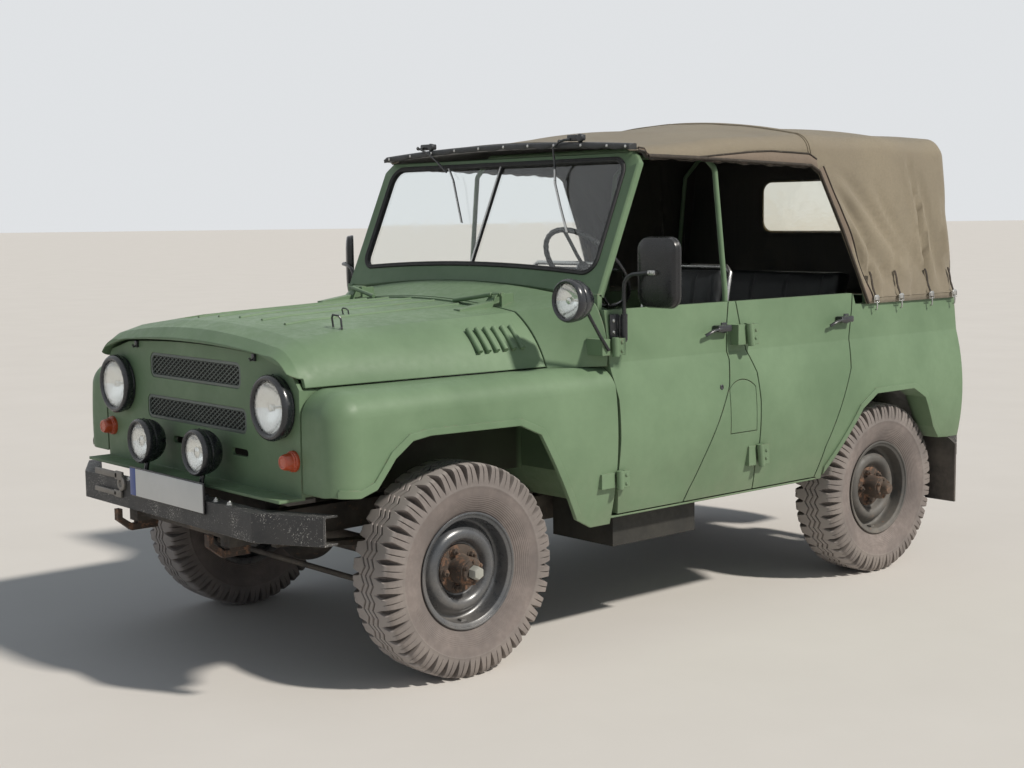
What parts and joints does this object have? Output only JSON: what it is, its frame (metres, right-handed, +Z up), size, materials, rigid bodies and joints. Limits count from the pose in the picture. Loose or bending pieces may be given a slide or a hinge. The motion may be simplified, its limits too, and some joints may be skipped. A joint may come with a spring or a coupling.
{
  "type": "soft-top army 4x4 car",
  "caption": "Open-sided soft-top 4x4 car with canvas rear top, leaf-sprung live axles, rounded fenders, split windscreen and swing-out spare wheel.",
  "frame": {"origin": "on the ground under the middle of the car's overall box", "axes": "+X to the car's left, +Y rearwards, +Z up"},
  "size_m": [2.18, 4.056, 2.03],
  "materials": {
    "body_paint": "matt mid-green brush-and-spray paint, worn on edges",
    "frame_black": "dull black chassis paint with dust",
    "black_trim": "black paint, slightly glossy, chipped",
    "canvas": "khaki-brown proofed canvas",
    "tyre": "dusty rubber",
    "rim_dark": "dark grey wheel paint with rust at the hub",
    "glass": "clear flat glass",
    "lens": "ribbed clear lamp glass",
    "clear_film": "clear flexible window film",
    "amber": "amber lamp lens",
    "red_lens": "red lamp lens",
    "vinyl": "black grained vinyl",
    "rubber": "black rubber sheet",
    "steel": "oily grey steel and iron",
    "mesh": "black expanded-metal mesh",
    "lamp_black": "black lamp housings",
    "bakelite": "black moulded plastic"
  },
  "bodies": {
    "chassis": {"chassis_frame": "frame_black", "front_axle": "frame_black", "rear_axle": "frame_black", "suspension": "frame_black", "powertrain": "steel", "exhaust": "steel", "fuel_tanks": "frame_black", "floor": "body_paint", "body_side_left": "body_paint", "body_side_right": "body_paint", "tailgate": "body_paint", "fender_left": "body_paint", "fender_right": "body_paint", "nose_panel": "body_paint", "grilles": "mesh", "radiator": "frame_black", "cowl": "body_paint", "windscreen_frame": "body_paint", "windscreen_glass": "glass", "front_bumper": "black_trim", "tow_hooks": "black_trim", "lamp_housings": "lamp_black", "lamp_lenses": "lens", "turn_lamps": "amber", "tail_lamps": "red_lens", "rear_bumpers": "black_trim", "mudflaps": "rubber", "canvas_top": "canvas", "rear_window": "clear_film", "header_bar": "black_trim", "wipers": "black_trim", "canopy_frame": "body_paint", "front_seats": "vinyl", "rear_seat": "vinyl", "dashboard": "body_paint", "controls": "black_trim"},
    "hood_lid": {"hood": "body_paint"},
    "front_door_left": {"door_front_left": "body_paint", "mirror_left": "black_trim"},
    "front_door_right": {"door_front_right": "body_paint", "mirror_right": "black_trim"},
    "rear_door_left": {"door_rear_left": "body_paint"},
    "rear_door_right": {"door_rear_right": "body_paint"},
    "flap_left": {"fuel_flap_left": "body_paint"},
    "flap_right": {"fuel_flap_right": "body_paint"},
    "swivel_left": {"knuckle_left": "steel"},
    "swivel_right": {"knuckle_right": "steel"},
    "track_rod": {"tie_rod": "frame_black"},
    "hand_wheel": {"steering_wheel": "bakelite"},
    "wheel_front_left": {"tyre_front_left": "tyre", "rim_front_left": "rim_dark"},
    "wheel_front_right": {"tyre_front_right": "tyre", "rim_front_right": "rim_dark"},
    "wheel_rear_left": {"tyre_rear_left": "tyre", "rim_rear_left": "rim_dark"},
    "wheel_rear_right": {"tyre_rear_right": "tyre", "rim_rear_right": "rim_dark"},
    "spare_arm": {"spare_carrier": "body_paint", "tyre_spare": "tyre", "rim_spare": "rim_dark"}
  },
  "joints": [
    {"name": "spin_front_left", "type": "hinge", "parent": "swivel_left", "child": "wheel_front_left", "pos_m": [0.724, -1.2525, 0.38], "axis": [1, 0, 0], "continuous": true},
    {"name": "spin_front_right", "type": "hinge", "parent": "swivel_right", "child": "wheel_front_right", "pos_m": [-0.724, -1.2525, 0.38], "axis": [1, 0, 0], "continuous": true},
    {"name": "spin_rear_left", "type": "hinge", "parent": "chassis", "child": "wheel_rear_left", "pos_m": [0.724, 1.1275, 0.38], "axis": [1, 0, 0], "continuous": true},
    {"name": "spin_rear_right", "type": "hinge", "parent": "chassis", "child": "wheel_rear_right", "pos_m": [-0.724, 1.1275, 0.38], "axis": [1, 0, 0], "continuous": true},
    {"name": "steer_left", "type": "hinge", "parent": "chassis", "child": "swivel_left", "pos_m": [0.596, -1.2525, 0.38], "axis": [0, 0, 1], "range_deg": [-27, 27]},
    {"name": "steer_right", "type": "hinge", "parent": "chassis", "child": "swivel_right", "pos_m": [-0.596, -1.2525, 0.38], "axis": [0, 0, 1], "range_deg": [-27, 27]},
    {"name": "tie_rod_pivot", "type": "hinge", "parent": "swivel_left", "child": "track_rod", "pos_m": [0.596, -1.4275, 0.33], "axis": [0, 0, 1], "range_deg": [-27, 27]},
    {"name": "steering_wheel_turn", "type": "hinge", "parent": "chassis", "child": "hand_wheel", "pos_m": [0.38, -0.2675, 1.396], "axis": [0, 0.7886, 0.6149], "range_deg": [-540, 540]},
    {"name": "front_door_left_hinge", "type": "hinge", "parent": "chassis", "child": "front_door_left", "pos_m": [0.902, -0.6025, 0.634], "axis": [0, 0.0403, -0.9992], "range_deg": [0, 60]},
    {"name": "front_door_right_hinge", "type": "hinge", "parent": "chassis", "child": "front_door_right", "pos_m": [-0.902, -0.6025, 0.634], "axis": [0, -0.0403, 0.9992], "range_deg": [0, 60]},
    {"name": "rear_door_left_hinge", "type": "hinge", "parent": "chassis", "child": "rear_door_left", "pos_m": [0.902, 0.1975, 0.64], "axis": [0, 0.1349, -0.9909], "range_deg": [0, 60]},
    {"name": "rear_door_right_hinge", "type": "hinge", "parent": "chassis", "child": "rear_door_right", "pos_m": [-0.902, 0.1975, 0.64], "axis": [0, -0.1349, 0.9909], "range_deg": [0, 60]},
    {"name": "hood_hinge", "type": "hinge", "parent": "chassis", "child": "hood_lid", "pos_m": [0, -0.8065, 1.318], "axis": [-1, 0, 0], "range_deg": [0, 60]},
    {"name": "flap_left_hinge", "type": "hinge", "parent": "chassis", "child": "flap_left", "pos_m": [0.893, 0.1065, 0.743], "axis": [0, 1, 0], "range_deg": [0, 80]},
    {"name": "flap_right_hinge", "type": "hinge", "parent": "chassis", "child": "flap_right", "pos_m": [-0.893, 0.1065, 0.743], "axis": [0, -1, 0], "range_deg": [0, 80]},
    {"name": "spare_arm_hinge", "type": "hinge", "parent": "chassis", "child": "spare_arm", "pos_m": [-0.718, 1.6725, 0.88], "axis": [0, 0, 1], "range_deg": [0, 110]}
  ],
  "couplings": [
    {"joint": "steer_right", "follows": "steer_left", "ratio": 1},
    {"joint": "tie_rod_pivot", "follows": "steer_left", "ratio": -1},
    {"joint": "steering_wheel_turn", "follows": "steer_left", "ratio": 20}
  ]
}
